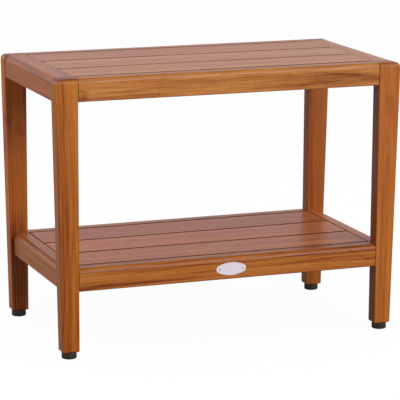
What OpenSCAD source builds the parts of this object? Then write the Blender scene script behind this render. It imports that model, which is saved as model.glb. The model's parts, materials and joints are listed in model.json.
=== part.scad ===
// Slatted teak shower bench: a flush seat frame and a low shelf frame on four tapered legs, with screw feet.
// Origin: on the floor under the middle of the bench. X runs along the bench, the front faces -Y, Z is up.

/* [Overall size] */
// Width of the bench along the front
bench_w = 610; // [500:2:760]
// Depth of the bench from front to back
bench_d = 316; // [290:2:360]
// Height of the seat above the floor
bench_h = 464; // [400:2:520]
// Height of the shelf's top above the floor
shelf_z = 151; // [110:1:220]

/* [Legs] */
// Width of a leg at the seat, seen from the front
leg_w = 39; // [36:0.5:46]
// Thickness of a leg from front to back
leg_d = 25; // [23:0.5:32]
// How far a leg's outer face leans in between the seat and the floor end
leg_taper = 10; // [2:0.5:12]
// Radius of a leg's four long edges
leg_edge = 1.5; // [0.6:0.1:2.4]
// Bevel round a leg's lower end
leg_end_bevel = 1.5; // [0.6:0.1:2.4]

/* [Rails] */
// Height of every rail
rail_h = 38; // [36:1:46]
// How far the front and back rails lie behind the faces of the legs
rail_setback = 0.5; // [0.2:0.1:1.5]
// How far the seat's end rails lie behind the outer faces of the legs
seat_end_setback = 1.5; // [0.8:0.1:4]
// Thickness of the shelf's end rails
shelf_end_t = 25; // [24.5:0.5:27]
// Radius of the round-over on the outer top edge of the front and back rails
round_over = 7; // [3:0.5:9]
// Radius of the round-over on the outer top edge of the end rails
end_round_over = 10; // [3:0.5:10]
// Radius of the other edges of a rail
rail_edge = 0.8; // [0.4:0.1:1.6]

/* [Joinery] */
// Thickness of a tenon
tenon_t = 8; // [6:0.5:8]
// Height of a tenon
tenon_h = 24; // [18:1:26]
// Length of the tenons on the front and back rails
long_tenon = 12; // [8:0.5:12.5]
// Length of the tenons on the end rails
end_tenon = 14; // [8:0.5:17]
// Distance from a leg's inner face to the tenon of an end rail
end_tenon_inset = 15; // [14.6:0.1:15.5]
// Gap for glue on each side of a tenon or tongue
glue_gap = 0.1; // [0.05:0.05:0.3]
// Empty space past the end of a tenon or tongue
tenon_end_gap = 1; // [0.5:0.1:1.5]

/* [Slats] */
// Thickness of a slat
slat_t = 16; // [14:0.5:17]
// Drain gap beside each slat
slat_gap = 5; // [2:0.25:6]
// Gap between the seat's slats and its end rails
seat_slat_end_gap = 0.5; // [0.5:0.25:4]
// Gap between the shelf's slats and its end rails
shelf_slat_end_gap = 2.5; // [0.5:0.25:4]
// Radius of a slat's corners, seen from above
slat_corner = 3.5; // [2:0.5:6]
// Radius of a slat's long upper edges
slat_edge = 0.6; // [0.4:0.1:1.6]

/* [Supports under the slats] */
// Width of the cleats fixed to the end rails
cleat_w = 20; // [16:1:28]
// Width of the batten under the middle of the slats
batten_w = 40; // [32:1:60]
// Height of the cleats and battens
support_h = 20; // [16:0.5:20]
// Gap between a cleat's ends and the long rails
cleat_end_gap = 0.5; // [0.3:0.1:3]
// Width of the tongue on each end of a batten
tongue_w = 28; // [18:1:30]
// Height of the tongue on each end of a batten
tongue_h = 12; // [8:1:14]
// Length of the tongue on each end of a batten
tongue_len = 8; // [4:0.5:12]

/* [Screws] */
// Diameter of a wood screw's shank
screw_d = 4; // [3:0.5:5]
// Diameter of a wood screw's countersunk head
screw_head_d = 8; // [7:0.5:10]
// Length of the screws that hold the slats
slat_screw_len = 30; // [26:0.5:31]
// Length of the screws that hold the cleats
cleat_screw_len = 36; // [30:1:40]
// Distance between the two screws across a slat
screw_spread = 50; // [36:1:60]
// How far a screw's head lies below the surface
screw_sink = 0.5; // [0.2:0.1:1]
// Gap round a screw in its hole
screw_gap = 0.1; // [0.05:0.05:0.3]
// Width across the square drive in a screw's head
drive_w = 2.4; // [1.8:0.1:2.6]
// Depth of the square drive
drive_depth = 1.8; // [1:0.1:2.4]

/* [Feet] */
// Height of a foot when it is screwed right in
foot_h = 11.5; // [10.5:0.5:16]
// Diameter of a foot
foot_d = 25; // [22:0.5:27]
// Height of the rubber sole
sole_h = 3.5; // [2.6:0.1:4]
// Radius of the sole's lower edge
sole_edge = 2; // [0.5:0.1:2.2]
// Radius of the cap's upper edge
cap_edge = 0.8; // [0.3:0.1:1.5]
// Diameter of the stem on which the cap turns
stem_d = 10; // [8:0.5:14]
// Height of the stem above the sole
stem_h = 2.5; // [1.5:0.1:2.6]
// Gap round the stem, and above it
stem_gap = 0.1; // [0.05:0.05:0.15]
// Gap between cap and sole, and between cap and leg
foot_gap = 0.3; // [0.2:0.05:0.5]
// Diameter of the threaded stud
stud_d = 8; // [6:0.5:10]
// Length of stud that stands above the leg's lower end
stud_reach = 18; // [15:1:26]
// Width across the flats of the stud's head
stud_head_w = 13; // [11:0.5:16]
// Height of the stud's head, which is moulded into the cap
stud_head_h = 2.5; // [1.5:0.1:3]
// Cap left between the stem's bore and the stud's head
cap_web = 0.6; // [0.4:0.1:0.9]
// Gap between the stud and the bore of its insert
thread_gap = 0.05; // [0.02:0.01:0.1]
// Outer diameter of the threaded insert
insert_d = 12; // [11:0.5:14]
// Length of the threaded insert
insert_len = 13; // [10:0.5:14]
// Gap between the stud and the hole above its insert
stud_side_gap = 0.3; // [0.2:0.05:1]
// Extra length of the hole past the tip of the stud
stud_end_gap = 2; // [1:0.5:6]

/* [Badge] */
// Width of the oval plate
badge_w = 53; // [40:1:80]
// Height of the oval plate
badge_h = 22; // [16:0.5:24]
// Radius of the plate's two ends
badge_end_r = 6.5; // [4:0.5:7.5]
// Thickness of the plate
badge_t = 1; // [0.8:0.1:1.2]
// How deep the plate is let into the rail
badge_inlet = 0.6; // [0.5:0.1:0.7]
// Gap round the plate in its recess
badge_gap = 0.2; // [0.1:0.05:0.5]
// How far the plate's middle lies below the rail's middle
badge_drop = 1.6; // [0:0.1:2]
// Distance between the two pins
pin_spacing = 42; // [30:1:44]
// Diameter of a pin's shank
pin_d = 1.4; // [1:0.1:1.8]
// Diameter of a pin's flush head
pin_head_d = 2.4; // [2.2:0.1:3]
// Length of a pin
pin_len = 7; // [5:0.5:12]
// Gap between a pin and the plate and rail that it goes through
pin_gap = 0.05; // [0.02:0.01:0.1]

/* [Hidden] */
$fn = 48;
teak = "#B06C30";
dark_teak = "#9A5A2A";
steel = "#A8A8A4";
brass = "#B5923C";
black_rubber = "#1B1A1C";
black_nylon = "#242326";
pale_metal = "#D5D3CE";

// A cutter runs this far past the face that it cuts
past = 1;
// Flats to a quarter turn where a rounding runs into another one: on a leg's top, and on small edges
top_flats = 9;
edge_flats = 3;
// Flats to a full turn of the arcs along the badge's sides
side_flats = 96;

// Faces of the legs, in the corner where X and Y are both positive
leg_out_x = bench_w / 2;
leg_in_x = leg_out_x - leg_w;
leg_out_y = bench_d / 2;
leg_in_y = leg_out_y - leg_d;
leg_mid_y = leg_out_y - leg_d / 2;
leg_len = bench_h - foot_h;
lean = atan(leg_taper / leg_len);
leg_end_x = leg_out_x - leg_taper;

// Rails
long_rail_t = leg_d - rail_setback;
long_rail_len = 2 * leg_in_x;
end_rail_len = 2 * leg_in_y;
seat_end_t = leg_w - seat_end_setback;
end_tenon_x = leg_in_x + end_tenon_inset + tenon_t / 2;

// Slats, in rows counted from the front slat, with a gap on both sides of each
SLAT_ROWS = [-1, 0, 1];
slat_w = (2 * leg_in_y - (len(SLAT_ROWS) + 1) * slat_gap) / len(SLAT_ROWS);
slat_pitch = slat_w + slat_gap;

// Supports
cleat_x = leg_in_x - cleat_w;
cleat_len = 2 * (leg_in_y - cleat_end_gap);
screw_head_h = (screw_head_d - screw_d) / 2;

// Feet, with heights above the floor
foot_x = (leg_in_x + leg_end_x) / 2;
foot_y = leg_mid_y;
cap_z = sole_h + foot_gap;
cap_top_z = foot_h - foot_gap;
stud_head_z = cap_z + stem_h + cap_web;

// Badge
badge_face_y = leg_out_y - rail_setback;
badge_z = shelf_z - rail_h / 2 - badge_drop;
badge_side_r = (pow(badge_h / 2, 2) + pow(badge_w / 2 - badge_end_r, 2) - pow(badge_end_r, 2))
             / (badge_h - 2 * badge_end_r);

// ---- Helpers ----

// Puts what is drawn at +X and +Y into the corner that the signs name
module in_corner(side_x, side_y) {
  mirror([side_x < 0 ? 1 : 0, 0, 0])
    mirror([0, side_y < 0 ? 1 : 0, 0])
      children();
}

// Stands a profile drawn in Y and Z along X, centred on length
module along_x(length) {
  translate([-length / 2, 0, 0])
    rotate([90, 0, 90])
      linear_extrude(length) children();
}

// Stands a profile drawn in X and Z along Y, from y1 to y2
module along_y(y1, y2) {
  translate([0, y2, 0])
    rotate([90, 0, 0])
      linear_extrude(y2 - y1) children();
}

// Points along an arc, in short flats
function arc(centre, r, from, to, flats) =
  [for (i = [0 : flats])
    let (angle = from + (to - from) * i / flats)
      centre + r * [cos(angle), sin(angle)]];

// What a round-over of radius r takes off an outside corner, drawn round the centre of its arc
module corner_waste(r, from = 0, to = 90) {
  reach = r + past;
  a = [reach * cos(from), reach * sin(from)];
  b = [reach * cos(to), reach * sin(to)];
  difference() {
    polygon([[0, 0], a, a + b, b]);
    circle(r);
  }
}

// The same with an arc in flats
module flat_corner_waste(r, from = 0, to = 90) {
  reach = r + past;
  a = [reach * cos(from), reach * sin(from)];
  b = [reach * cos(to), reach * sin(to)];
  polygon(concat(arc([0, 0], r, from, to, edge_flats), [b, a + b, a]));
}

// A rail's section: inner face at 0, outer face at t, top at 0, with a round-over of radius r
module rail_section(t, r) {
  difference() {
    translate([0, -rail_h]) square([t, rail_h]);
    translate([t - r, -r]) corner_waste(r);
    translate([t - rail_edge, rail_edge - rail_h]) corner_waste(rail_edge, 270, 360);
    translate([rail_edge, -rail_edge]) corner_waste(rail_edge, 90, 180);
    translate([rail_edge, rail_edge - rail_h]) corner_waste(rail_edge, 180, 270);
  }
}

// A block centred in X and Y, with its top at z = 0
module hanging_block(size) {
  translate([-size[0] / 2, -size[1] / 2, -size[2]]) cube(size);
}

// ---- Legs ----

// A leg seen from the front: plumb inner face, leaning outer face, rounded outer top corner
module leg_front_view() {
  bevel = leg_end_bevel;
  arc_x = leg_out_x - end_round_over * tan(lean) - end_round_over / cos(lean);
  polygon(concat(
    [[leg_in_x, bench_h], [leg_in_x, foot_h + bevel], [leg_in_x + bevel, foot_h],
     [leg_end_x - bevel, foot_h], [leg_end_x + bevel * tan(lean), foot_h + bevel]],
    arc([arc_x, bench_h - end_round_over], end_round_over, -lean, 90, top_flats)));
}

// A leg seen from the side: both faces plumb, the outer top corner rounded
module leg_side_view() {
  bevel = leg_end_bevel;
  polygon(concat(
    [[leg_in_y, bench_h], [leg_in_y, foot_h + bevel], [leg_in_y + bevel, foot_h],
     [leg_out_y - bevel, foot_h], [leg_out_y, foot_h + bevel]],
    arc([leg_out_y - round_over, bench_h - round_over], round_over, 0, 90, top_flats)));
}

// Waste along the leg's four long edges; the outer two lean with the face
module leg_edge_waste() {
  length = leg_len + 2 * past;
  translate([leg_in_x + leg_edge, 0, foot_h - past])
    linear_extrude(length) {
      translate([0, leg_in_y + leg_edge]) flat_corner_waste(leg_edge, 180, 270);
      translate([0, leg_out_y - leg_edge]) flat_corner_waste(leg_edge, 90, 180);
    }
  translate([leg_out_x, 0, bench_h])
    rotate([0, lean, 0])
      translate([-leg_edge, 0, -length])
        linear_extrude(length + past) {
          translate([0, leg_in_y + leg_edge]) flat_corner_waste(leg_edge, 270, 360);
          translate([0, leg_out_y - leg_edge]) flat_corner_waste(leg_edge);
        }
}

// Mortises in one leg for the rails of the frame whose top is at top_z
module leg_mortises(top_z) {
  wide = tenon_t + 2 * glue_gap;
  high = tenon_h + 2 * glue_gap;
  z = top_z - rail_h / 2 - high / 2;
  translate([leg_in_x - past, leg_mid_y - wide / 2, z])
    cube([long_tenon + tenon_end_gap + past, wide, high]);
  translate([end_tenon_x - wide / 2, leg_in_y - past, z])
    cube([wide, end_tenon + tenon_end_gap + past, high]);
}

// A leg with its outside finished and no holes yet
module leg_blank() {
  difference() {
    intersection() {
      along_y(leg_in_y, leg_out_y) leg_front_view();
      translate([leg_in_x + leg_w / 2, 0, 0])
        along_x(leg_w + 2 * past) leg_side_view();
    }
    leg_edge_waste();
  }
}

module leg(side_x, side_y) {
  color(teak)
    in_corner(side_x, side_y)
      difference() {
        leg_blank();
        leg_mortises(bench_h);
        leg_mortises(shelf_z);
        translate([foot_x, foot_y, foot_h - past])
          cylinder(h = insert_len + past, d = insert_d);
        translate([foot_x, foot_y, foot_h])
          cylinder(h = stud_reach + stud_end_gap, d = stud_d + 2 * stud_side_gap);
      }
}

// ---- Rails ----

// A front or back rail, with a tenon at each end and a mortise for the batten
module long_rail_blank(top_z) {
  translate([0, leg_in_y, top_z])
    along_x(long_rail_len) rail_section(long_rail_t, round_over);
  translate([0, leg_mid_y, top_z - (rail_h - tenon_h) / 2])
    hanging_block([long_rail_len + 2 * long_tenon, tenon_t, tenon_h]);
}

module batten_mortise(top_z) {
  deep = tongue_len + tenon_end_gap + past;
  middle_z = top_z - slat_t - support_h / 2;
  translate([0, leg_in_y - past + deep / 2, middle_z + tongue_h / 2 + glue_gap])
    hanging_block([tongue_w + 2 * glue_gap, deep, tongue_h + 2 * glue_gap]);
}

module long_rail(side_y, top_z) {
  color(teak)
    in_corner(1, side_y)
      difference() {
        long_rail_blank(top_z);
        batten_mortise(top_z);
      }
}

// The shelf's front rail also has the badge's recess and the holes for its pins
module badge_rail() {
  color(teak)
    in_corner(1, -1)
      difference() {
        long_rail_blank(shelf_z);
        batten_mortise(shelf_z);
        translate([0, badge_face_y - badge_inlet, badge_z])
          oval(badge_inlet + past, badge_gap);
        at_pins()
          translate([0, badge_face_y - badge_inlet - pin_len, badge_z])
            rotate([-90, 0, 0]) cylinder(h = pin_len + past, d = pin_d + 2 * pin_gap);
      }
}

// An end rail, with a tenon into each of its two legs
module end_rail(side_x, top_z, thickness) {
  color(teak)
    in_corner(side_x, 1)
      difference() {
        union() {
          along_y(-leg_in_y, leg_in_y)
            translate([leg_in_x, top_z]) rail_section(thickness, end_round_over);
          translate([end_tenon_x, 0, top_z - (rail_h - tenon_h) / 2])
            hanging_block([tenon_t, end_rail_len + 2 * end_tenon, tenon_h]);
        }
        at_cleat_screws(top_z) screw_hole(cleat_screw_len);
      }
}

// ---- Slats ----

// A slat seen from above
module slat_outline(length) {
  x = length / 2 - slat_corner;
  y = slat_w / 2 - slat_corner;
  polygon(concat(
    arc([x, y], slat_corner, 0, 90, edge_flats),
    arc([-x, y], slat_corner, 90, 180, edge_flats),
    arc([-x, -y], slat_corner, 180, 270, edge_flats),
    arc([x, -y], slat_corner, 270, 360, edge_flats)));
}

// row is -1 for the front slat, 0 for the middle one and 1 for the back one
module slat(row, top_z, end_gap) {
  length = long_rail_len - 2 * end_gap;
  color(teak)
    difference() {
      translate([0, row * slat_pitch, top_z - slat_t])
        linear_extrude(slat_t) slat_outline(length);
      translate([0, row * slat_pitch, top_z - slat_edge])
        for (side = [-1, 1])
          in_corner(1, side)
            along_x(length + 2 * past)
              translate([slat_w / 2 - slat_edge, 0]) corner_waste(slat_edge);
      at_slat_screws(top_z) screw_hole(slat_screw_len);
    }
}

// ---- Supports ----

module cleat(side_x, top_z) {
  color(dark_teak)
    difference() {
      translate([side_x * (cleat_x + cleat_w / 2), 0, top_z - slat_t])
        hanging_block([cleat_w, cleat_len, support_h]);
      at_slat_screws(top_z) screw_hole(slat_screw_len);
      in_corner(side_x, 1)
        at_cleat_screws(top_z) screw_hole(cleat_screw_len);
    }
}

module batten(top_z) {
  middle_z = top_z - slat_t - support_h / 2;
  color(dark_teak)
    difference() {
      union() {
        translate([0, 0, top_z - slat_t])
          hanging_block([batten_w, 2 * leg_in_y, support_h]);
        translate([0, 0, middle_z + tongue_h / 2])
          hanging_block([tongue_w, 2 * (leg_in_y + tongue_len), tongue_h]);
      }
      at_slat_screws(top_z) screw_hole(slat_screw_len);
    }
}

// ---- Screws ----

// A countersunk wood screw that points up from z = 0, with a square drive
module screw(length) {
  lip = screw_sink;
  color(steel)
    difference() {
      rotate_extrude()
        polygon([[0, 0], [screw_head_d / 2, 0], [screw_head_d / 2, lip],
                 [screw_d / 2, lip + screw_head_h], [screw_d / 2, length - screw_d],
                 [0, length]]);
      translate([-drive_w / 2, -drive_w / 2, -past])
        cube([drive_w, drive_w, drive_depth + past]);
    }
}

// The hole for that screw, open at its lower end
module screw_hole(length) {
  wide = screw_head_d / 2 + screw_gap;
  narrow = screw_d / 2 + screw_gap;
  rotate_extrude()
    polygon([[0, -screw_sink - past], [wide, -screw_sink - past], [wide, screw_sink],
             [narrow, screw_sink + screw_head_h], [narrow, length + screw_gap],
             [0, length + screw_gap]]);
}

// Two screws to each slat, on each cleat and on the batten
module at_slat_screws(top_z) {
  for (place = [-1, 0, 1], row = SLAT_ROWS, side = [-1, 1])
    translate([place * (cleat_x + cleat_w / 2),
               row * slat_pitch + side * screw_spread / 2,
               top_z - slat_t - support_h + screw_sink])
      children();
}

// Three screws through the cleat at +X into its end rail, between those of the slats
module at_cleat_screws(top_z) {
  for (row = SLAT_ROWS)
    translate([cleat_x + screw_sink, row * slat_pitch, top_z - slat_t - support_h / 2])
      rotate([0, 90, 0]) children();
}

module cleat_screws() {
  for (top_z = [bench_h, shelf_z], side_x = [-1, 1])
    in_corner(side_x, 1)
      at_cleat_screws(top_z) screw(cleat_screw_len);
}

// ---- Badge ----

// A plate of two side arcs and two end arcs that faces +Y, larger all round by margin
module oval(thickness, margin) {
  side_r = badge_side_r + margin;
  end_r = badge_end_r + margin;
  side_y = badge_side_r - badge_h / 2;
  end_x = badge_w / 2 - badge_end_r;
  join_x = end_x * side_r / (side_r - end_r);
  rotate([-90, 0, 0])
    linear_extrude(thickness) {
      intersection() {
        square([2 * join_x, 2 * side_r], center = true);
        translate([0, side_y]) circle(side_r, $fn = side_flats);
        translate([0, -side_y]) circle(side_r, $fn = side_flats);
      }
      for (side = [-1, 1])
        translate([side * end_x, 0]) circle(end_r);
    }
}

module at_pins() {
  for (side = [-1, 1])
    translate([side * pin_spacing / 2, 0, 0]) children();
}

module badge_plate() {
  color(pale_metal)
    in_corner(1, -1)
      difference() {
        translate([0, badge_face_y - badge_inlet, badge_z]) oval(badge_t, 0);
        at_pins() badge_pin(pin_gap);
      }
}

// A pin with a cone under its flush head, larger all round by margin
module badge_pin(margin) {
  head_r = pin_head_d / 2 + margin;
  shank_r = pin_d / 2 + margin;
  translate([0, badge_face_y - badge_inlet + badge_t, badge_z])
    rotate([90, 0, 0])
      rotate_extrude()
        polygon([[0, 0], [head_r, 0], [shank_r, head_r - shank_r],
                 [shank_r, pin_len], [0, pin_len]]);
}

module badge_pins() {
  color(steel)
    in_corner(1, -1)
      at_pins() badge_pin(0);
}

// ---- Feet ----

module at_foot(side_x, side_y) {
  in_corner(side_x, side_y)
    translate([foot_x, foot_y, 0]) children();
}

// The rubber sole, with the stem that carries the cap
module foot_sole(side_x, side_y) {
  color(black_rubber)
    at_foot(side_x, side_y)
      rotate_extrude()
        difference() {
          union() {
            square([foot_d / 2, sole_h]);
            square([stem_d / 2, sole_h + stem_h - stem_gap]);
          }
          translate([foot_d / 2 - sole_edge, sole_edge]) corner_waste(sole_edge, 270, 360);
        }
}

// The nylon cap that a hand turns, moulded round the head of the stud
module foot_cap(side_x, side_y) {
  color(black_nylon)
    at_foot(side_x, side_y)
      difference() {
        rotate_extrude()
          difference() {
            translate([0, cap_z]) square([foot_d / 2, cap_top_z - cap_z]);
            translate([foot_d / 2 - cap_edge, cap_top_z - cap_edge]) corner_waste(cap_edge);
          }
        translate([0, 0, cap_z - past])
          cylinder(h = stem_h + past, d = stem_d + 2 * stem_gap);
        stud_solid();
      }
}

// The stud and its hexagonal head
module stud_solid() {
  translate([0, 0, stud_head_z])
    cylinder(h = stud_head_h, d = stud_head_w / cos(30), $fn = 6);
  translate([0, 0, stud_head_z])
    cylinder(h = foot_h + stud_reach - stud_head_z, d = stud_d);
}

module foot_stud(side_x, side_y) {
  color(steel)
    at_foot(side_x, side_y) stud_solid();
}

module foot_inserts() {
  color(brass)
    for (side_x = [-1, 1], side_y = [-1, 1])
      at_foot(side_x, side_y)
        translate([0, 0, foot_h])
          difference() {
            cylinder(h = insert_len, d = insert_d);
            translate([0, 0, -past])
              cylinder(h = insert_len + 2 * past, d = stud_d + 2 * thread_gap);
          }
}

// ---- The bench ----

leg(-1, -1);  // front_left_leg
leg(1, -1);  // front_right_leg
leg(-1, 1);  // back_left_leg
leg(1, 1);  // back_right_leg

long_rail(-1, bench_h);  // seat_front_rail
long_rail(1, bench_h);  // seat_back_rail
end_rail(-1, bench_h, seat_end_t);  // seat_left_rail
end_rail(1, bench_h, seat_end_t);  // seat_right_rail
slat(-1, bench_h, seat_slat_end_gap);  // seat_front_slat
slat(0, bench_h, seat_slat_end_gap);  // seat_middle_slat
slat(1, bench_h, seat_slat_end_gap);  // seat_back_slat
cleat(-1, bench_h);  // seat_left_cleat
cleat(1, bench_h);  // seat_right_cleat
batten(bench_h);  // seat_batten

badge_rail();  // shelf_front_rail
long_rail(1, shelf_z);  // shelf_back_rail
end_rail(-1, shelf_z, shelf_end_t);  // shelf_left_rail
end_rail(1, shelf_z, shelf_end_t);  // shelf_right_rail
slat(-1, shelf_z, shelf_slat_end_gap);  // shelf_front_slat
slat(0, shelf_z, shelf_slat_end_gap);  // shelf_middle_slat
slat(1, shelf_z, shelf_slat_end_gap);  // shelf_back_slat
cleat(-1, shelf_z);  // shelf_left_cleat
cleat(1, shelf_z);  // shelf_right_cleat
batten(shelf_z);  // shelf_batten

at_slat_screws(bench_h) screw(slat_screw_len);  // seat_slat_screws
at_slat_screws(shelf_z) screw(slat_screw_len);  // shelf_slat_screws
cleat_screws();
badge_plate();
badge_pins();
foot_inserts();

foot_sole(-1, -1);  // front_left_foot_sole
foot_cap(-1, -1);  // front_left_foot_cap
foot_stud(-1, -1);  // front_left_foot_stud
foot_sole(1, -1);  // front_right_foot_sole
foot_cap(1, -1);  // front_right_foot_cap
foot_stud(1, -1);  // front_right_foot_stud
foot_sole(-1, 1);  // back_left_foot_sole
foot_cap(-1, 1);  // back_left_foot_cap
foot_stud(-1, 1);  // back_left_foot_stud
foot_sole(1, 1);  // back_right_foot_sole
foot_cap(1, 1);  // back_right_foot_cap
foot_stud(1, 1);  // back_right_foot_stud
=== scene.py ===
import json
import math
from functools import partial
from typing import NamedTuple

import bmesh
import bpy
from mathutils import Euler, Matrix, Vector


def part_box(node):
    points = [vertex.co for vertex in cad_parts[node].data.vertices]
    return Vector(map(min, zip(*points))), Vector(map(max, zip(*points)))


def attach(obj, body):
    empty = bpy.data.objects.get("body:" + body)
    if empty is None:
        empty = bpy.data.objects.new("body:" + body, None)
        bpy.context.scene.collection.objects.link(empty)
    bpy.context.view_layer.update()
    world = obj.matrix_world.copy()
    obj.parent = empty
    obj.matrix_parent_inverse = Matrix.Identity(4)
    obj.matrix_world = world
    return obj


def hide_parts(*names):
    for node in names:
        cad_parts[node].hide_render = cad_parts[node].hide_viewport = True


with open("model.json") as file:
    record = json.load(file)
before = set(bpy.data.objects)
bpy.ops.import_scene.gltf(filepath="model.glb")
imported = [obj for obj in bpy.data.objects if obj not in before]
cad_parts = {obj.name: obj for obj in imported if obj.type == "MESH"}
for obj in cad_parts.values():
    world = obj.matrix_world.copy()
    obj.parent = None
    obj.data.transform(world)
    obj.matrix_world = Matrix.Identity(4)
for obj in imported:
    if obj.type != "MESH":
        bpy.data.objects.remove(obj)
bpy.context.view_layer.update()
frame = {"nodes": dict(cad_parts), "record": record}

MM = 0.001
SEAM = 0.002 * MM  # points closer than this are one point
# How far sharp edges are taken off
BOARD_ARRIS, FOOT_ARRIS, PLATE_ARRIS, PIN_ARRIS = 0.35 * MM, 0.3 * MM, 0.38 * MM, 0.1 * MM
NOWHERE = -1.0  # a height that no board reaches
TOP_ROUND = 6.2 * MM  # height of the rounded top edge around the seat and the shelf
THREAD_RUN_OUT = 0.6 * MM  # the length over which a thread fades in and out
METRIC_PITCH = 1.25 * MM  # of the feet's M8 thread
LEG_LOW, LEG_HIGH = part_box("back_right_leg")
SLAT_LOW, SLAT_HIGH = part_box("seat_middle_slat")
SLAT_PITCH = SLAT_LOW.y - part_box("seat_front_slat")[0].y


# ---- Camera ----

def make_camera():
    """The photograph's view, from the front left and a little above."""
    turn_right, tilt_down, roll = math.radians(21.01), math.radians(11.93), math.radians(0.32)
    data = bpy.data.cameras.new("photo_view")
    data.sensor_width = 36
    data.lens = 201.3
    camera = bpy.data.objects.new("photo_view", data)
    bpy.context.scene.collection.objects.link(camera)
    aim = (Matrix.Rotation(-turn_right, 4, "Z")
           @ Matrix.Rotation(math.pi / 2 - tilt_down, 4, "X")
           @ Matrix.Rotation(roll, 4, "Z"))
    camera.matrix_world = Matrix.Translation((-1.3505, -3.5267, 1.0140)) @ aim
    bpy.context.scene.camera = camera


# ---- Nodes ----

def linear(colour):
    """An sRGB hex colour as linear red, green, blue and alpha."""
    channels = [int(colour[i:i + 2], 16) / 255 for i in (1, 3, 5)]
    return [c / 12.92 if c <= 0.04045 else ((c + 0.055) / 1.055) ** 2.4 for c in channels] + [1.0]


def add_node(tree, kind, *values, inputs=None, stops=None, **settings):
    """Adds a node with its settings and links, and returns it.

    kind is the node's type, short for a shader node, and may name its operation after a space. The values
    fill the inputs in order, and inputs fills them by name. Each is a plain value, a socket, a node, which
    stands for its first output in use, or a list of sockets and nodes. stops fill a colour ramp.
    """
    kind, _, operation = kind.partition(" ")
    made = tree.nodes.new(kind if "Node" in kind else "ShaderNode" + kind)
    if operation:
        made.operation = operation
    for name, value in settings.items():
        setattr(made, name, value)
    for key, value in [*enumerate(values), *(inputs or {}).items()]:
        several = isinstance(value, list) and not isinstance(value[0], float)
        for source in value if several else [value]:
            if isinstance(source, bpy.types.Node):
                source = next(socket for socket in source.outputs if socket.enabled)
            if isinstance(source, bpy.types.NodeSocket):
                tree.links.new(source, made.inputs[key])
            else:
                made.inputs[key].default_value = source
    if stops:
        ramp = made.color_ramp
        while len(ramp.elements) < len(stops):
            ramp.elements.new(1.0)
        for element, (place, colour) in zip(ramp.elements, stops):
            element.position = place
            element.color = linear(colour) if isinstance(colour, str) else (colour, colour, colour, 1)
    return made


def new_group(name, kind, inputs, outputs):
    """An empty node group, what adds a node to it, and its inputs.

    inputs are (name, socket kind, default), outputs (name, socket kind).
    """
    tree = bpy.data.node_groups.new(name, kind)
    for label, socket, default in inputs:
        made = tree.interface.new_socket(label, in_out="INPUT", socket_type="NodeSocket" + socket)
        if default is not None:
            made.default_value = default
    for label, socket in outputs:
        tree.interface.new_socket(label, in_out="OUTPUT", socket_type="NodeSocket" + socket)
    return tree, partial(add_node, tree), tree.nodes.new("NodeGroupInput").outputs


def new_material(name):
    """An empty material and what adds a node to it."""
    material = bpy.data.materials.new(name)
    material.use_nodes = True
    material.node_tree.nodes.clear()
    return material, partial(add_node, material.node_tree)


# ---- Teak ----

def make_log():
    """The inside of a teak log. Its input is a place in the log in metres, with X along the grain."""
    tree, add, given = new_group("teak_log", "ShaderNodeTree", (
        ("Place", "Vector", (0, 0, 0)), ("Ring width", "Float", 5 * MM), ("Ring contrast", "Float", 0.5),
        ("Streak contrast", "Float", 0.5)),
        (("Shade", "Float"), ("Blush", "Float"), ("Pores", "Float"), ("Height", "Float")))

    def fibres(per_metre_along, per_metre_across, detail, roughness=0.5):
        """Noise from 0 to 1 with cells of 1 / per_metre, longer along the grain than across it."""
        scale = (per_metre_along, per_metre_across, per_metre_across)
        noise = add("TexNoise", inputs={
            "Vector": add("VectorMath MULTIPLY", given["Place"], scale), "Scale": 1.0, "Detail": detail,
            "Roughness": roughness})
        return add("MapRange", noise, 0.34, 0.66)

    # The trunk sways over half a metre and ripples over a hand's width, which bends the rings into arches
    sway_width, ripple_width = 11 * MM, 2.2 * MM
    sway = add("Math MULTIPLY", add("Math SUBTRACT", fibres(2.2, 9, 1), 0.5), sway_width)
    ripple = add("Math MULTIPLY", add("Math SUBTRACT", fibres(12, 40, 2), 0.5), ripple_width)
    from_heart = add("VectorMath LENGTH", add("VectorMath MULTIPLY", given["Place"], (0, 1, 1)))
    radius = add("Math ADD", from_heart, add("Math ADD", sway, ripple))

    # Growth rings of uneven width, up to 2.4 rings out of step over 18 mm, with a dark late edge that stops
    # sharply, and years that are darker or paler than others
    uneven = add("TexNoise", noise_dimensions="1D", inputs={"W": radius, "Scale": 55.0, "Detail": 1.0})
    even_rings = add("Math DIVIDE", radius, given["Ring width"])
    phase = add("Math ADD", even_rings, add("Math MULTIPLY", uneven, 2.4))
    ring = add("ValToRGB", add("Math FRACT", phase),
               stops=((0.0, 0.10), (0.12, 0.0), (0.50, 0.18), (0.78, 0.62), (0.90, 1.0), (1.0, 0.10)))
    year = add("TexNoise", noise_dimensions="1D", inputs={
        "W": add("Math FLOOR", phase), "Scale": 1.7, "Detail": 0.0})
    ring_shade = add("Math MULTIPLY", ring, add("MapRange", year, 0.3, 0.7, 0.25, 1.0))
    rings = add("Math MULTIPLY", add("Math SUBTRACT", ring_shade, 0.2), given["Ring contrast"])

    # Fibre streaks, drawn 2 to 3 mm wide because the real ones are too fine to show from here, and bands of
    # 13 mm that are darker or paler
    fine, broad = fibres(6, 420, 3, roughness=0.6), fibres(1.8, 75, 2)
    lean = add("Math SUBTRACT", add("Math MULTIPLY", broad, 0.6), 0.6)
    streaks = add("Math ADD", add("Math MULTIPLY", fine, 0.6), lean)
    middle_shade = 0.39
    shade = add("Math ADD", add("Math ADD", rings, middle_shade),
                add("Math MULTIPLY", streaks, given["Streak contrast"]))

    # Pores are short dark dashes, drawn 0.6 mm wide and 8 mm long. The blush is in patches of a hand's width
    pores = add("MapRange", fibres(120, 1700, 1), 0.80, 0.95)
    blush = fibres(4, 22, 2)
    height = add("Math SUBTRACT", add("Math MULTIPLY", fine, 0.5), pores)
    add("NodeGroupOutput", shade, blush, pores, height)
    return tree


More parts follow.
